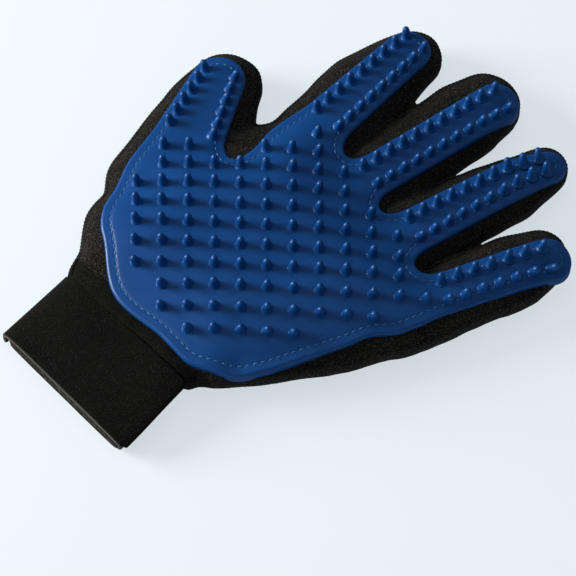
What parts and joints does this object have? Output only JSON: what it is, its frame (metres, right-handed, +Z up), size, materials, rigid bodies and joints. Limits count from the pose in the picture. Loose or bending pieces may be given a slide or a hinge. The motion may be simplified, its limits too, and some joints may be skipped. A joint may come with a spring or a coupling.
{
  "type": "pet grooming glove",
  "caption": "Five-finger knit glove with a nubbed rubber pad over the palm and digits and a hook-and-loop wrist strap, for brushing loose hair from a pet.",
  "frame": {"origin": "centre of the wrist on the resting plane, under the back-of-hand panel", "axes": "+Y up the hand to the fingertips, +X from the thumb side to the little-finger side, +Z up out of the palm"},
  "size_m": [0.1746, 0.2355, 0.0261],
  "materials": {
    "pad_rubber": "moulded silicone rubber, satin, blue",
    "shell_knit": "black spacer-mesh knit",
    "cuff_knit": "black brushed loop fabric",
    "strap_loop": "black brushed loop-pile strap",
    "hook_tape": "black moulded hook tape",
    "loop_tape": "black loop tape",
    "elastic_band": "black woven elastic",
    "hem_binding": "black folded binding",
    "thread": "light blue polyester thread"
  },
  "bodies": {
    "palm": {"palm_pad": "pad_rubber", "palm_panel": "shell_knit", "back_panel": "shell_knit", "pad_stitching": "thread"},
    "thumb_proximal": {"thumb_proximal_pad": "pad_rubber", "thumb_proximal_palm_fabric": "shell_knit", "thumb_proximal_back_fabric": "shell_knit"},
    "thumb_distal": {"thumb_distal_pad": "pad_rubber", "thumb_distal_palm_fabric": "shell_knit", "thumb_distal_back_fabric": "shell_knit"},
    "index_proximal": {"index_proximal_pad": "pad_rubber", "index_proximal_palm_fabric": "shell_knit", "index_proximal_back_fabric": "shell_knit"},
    "index_middle": {"index_middle_pad": "pad_rubber", "index_middle_palm_fabric": "shell_knit", "index_middle_back_fabric": "shell_knit"},
    "index_distal": {"index_distal_pad": "pad_rubber", "index_distal_palm_fabric": "shell_knit", "index_distal_back_fabric": "shell_knit"},
    "middle_proximal": {"middle_proximal_pad": "pad_rubber", "middle_proximal_palm_fabric": "shell_knit", "middle_proximal_back_fabric": "shell_knit"},
    "middle_middle": {"middle_middle_pad": "pad_rubber", "middle_middle_palm_fabric": "shell_knit", "middle_middle_back_fabric": "shell_knit"},
    "middle_distal": {"middle_distal_pad": "pad_rubber", "middle_distal_palm_fabric": "shell_knit", "middle_distal_back_fabric": "shell_knit"},
    "ring_proximal": {"ring_proximal_pad": "pad_rubber", "ring_proximal_palm_fabric": "shell_knit", "ring_proximal_back_fabric": "shell_knit"},
    "ring_middle": {"ring_middle_pad": "pad_rubber", "ring_middle_palm_fabric": "shell_knit", "ring_middle_back_fabric": "shell_knit"},
    "ring_distal": {"ring_distal_pad": "pad_rubber", "ring_distal_palm_fabric": "shell_knit", "ring_distal_back_fabric": "shell_knit"},
    "little_proximal": {"little_proximal_pad": "pad_rubber", "little_proximal_palm_fabric": "shell_knit", "little_proximal_back_fabric": "shell_knit"},
    "little_middle": {"little_middle_pad": "pad_rubber", "little_middle_palm_fabric": "shell_knit", "little_middle_back_fabric": "shell_knit"},
    "little_distal": {"little_distal_pad": "pad_rubber", "little_distal_palm_fabric": "shell_knit", "little_distal_back_fabric": "shell_knit"},
    "cuff": {"cuff_palm_panel": "cuff_knit", "cuff_back_panel": "cuff_knit", "cuff_hem": "hem_binding", "wrist_elastic": "elastic_band", "loop_patch": "loop_tape", "strap_anchor": "strap_loop"},
    "strap_flap": {"strap_inner_flap": "strap_loop"},
    "strap_tab": {"strap_outer_flap": "strap_loop", "hook_patch": "hook_tape"}
  },
  "joints": [
    {"name": "thumb_base_curl", "type": "hinge", "parent": "palm", "child": "thumb_proximal", "pos_m": [-0.0523, 0.0708, 0.016], "axis": [0.8607, 0.509, 0], "range_deg": [-15, 40]},
    {"name": "thumb_tip_curl", "type": "hinge", "parent": "thumb_proximal", "child": "thumb_distal", "pos_m": [-0.06095, 0.08543, 0.016], "axis": [0.8607, 0.509, 0], "range_deg": [0, 45]},
    {"name": "index_base_curl", "type": "hinge", "parent": "palm", "child": "index_proximal", "pos_m": [-0.0236, 0.121, 0.016], "axis": [0.989, 0.1478, 0], "range_deg": [-15, 50]},
    {"name": "index_middle_curl", "type": "hinge", "parent": "index_proximal", "child": "index_middle", "pos_m": [-0.02656, 0.14078, 0.016], "axis": [0.989, 0.1478, 0], "range_deg": [0, 50]},
    {"name": "index_tip_curl", "type": "hinge", "parent": "index_middle", "child": "index_distal", "pos_m": [-0.02899, 0.1571, 0.016], "axis": [0.989, 0.1478, 0], "range_deg": [0, 33]},
    {"name": "middle_base_curl", "type": "hinge", "parent": "palm", "child": "middle_proximal", "pos_m": [0.0083, 0.121, 0.016], "axis": [0.999, -0.0436, 0], "range_deg": [-15, 50]},
    {"name": "middle_middle_curl", "type": "hinge", "parent": "middle_proximal", "child": "middle_middle", "pos_m": [0.00939, 0.14598, 0.016], "axis": [0.999, -0.0436, 0], "range_deg": [0, 50]},
    {"name": "middle_tip_curl", "type": "hinge", "parent": "middle_middle", "child": "middle_distal", "pos_m": [0.01029, 0.16646, 0.016], "axis": [0.999, -0.0436, 0], "range_deg": [0, 33]},
    {"name": "ring_base_curl", "type": "hinge", "parent": "palm", "child": "ring_proximal", "pos_m": [0.0398, 0.115, 0.016], "axis": [0.9848, -0.1736, 0], "range_deg": [-15, 50]},
    {"name": "ring_middle_curl", "type": "hinge", "parent": "ring_proximal", "child": "ring_middle", "pos_m": [0.04423, 0.14011, 0.016], "axis": [0.9848, -0.1736, 0], "range_deg": [0, 50]},
    {"name": "ring_tip_curl", "type": "hinge", "parent": "ring_middle", "child": "ring_distal", "pos_m": [0.04788, 0.16079, 0.016], "axis": [0.9848, -0.1736, 0], "range_deg": [0, 33]},
    {"name": "little_base_curl", "type": "hinge", "parent": "palm", "child": "little_proximal", "pos_m": [0.068, 0.106, 0.016], "axis": [0.9537, -0.3007, 0], "range_deg": [-15, 50]},
    {"name": "little_middle_curl", "type": "hinge", "parent": "little_proximal", "child": "little_middle", "pos_m": [0.07401, 0.12507, 0.016], "axis": [0.9537, -0.3007, 0], "range_deg": [0, 50]},
    {"name": "little_tip_curl", "type": "hinge", "parent": "little_middle", "child": "little_distal", "pos_m": [0.07898, 0.14081, 0.016], "axis": [0.9537, -0.3007, 0], "range_deg": [0, 33]},
    {"name": "wrist_bend", "type": "hinge", "parent": "palm", "child": "cuff", "pos_m": [0, -0.003, 0.0065], "axis": [-0.9925, -0.1219, 0], "range_deg": [-30, 30]},
    {"name": "strap_lift", "type": "hinge", "parent": "cuff", "child": "strap_flap", "pos_m": [-0.02719, -0.0277, 0.01675], "axis": [0.1219, -0.9925, 0], "range_deg": [0, 80]},
    {"name": "tab_peel", "type": "hinge", "parent": "strap_flap", "child": "strap_tab", "pos_m": [0.00258, -0.02404, 0.01675], "axis": [0.1219, -0.9925, 0], "range_deg": [0, 150]}
  ],
  "couplings": [
    {"joint": "index_tip_curl", "follows": "index_middle_curl", "ratio": 0.6599},
    {"joint": "middle_tip_curl", "follows": "middle_middle_curl", "ratio": 0.6599},
    {"joint": "ring_tip_curl", "follows": "ring_middle_curl", "ratio": 0.6599},
    {"joint": "little_tip_curl", "follows": "little_middle_curl", "ratio": 0.6599}
  ]
}
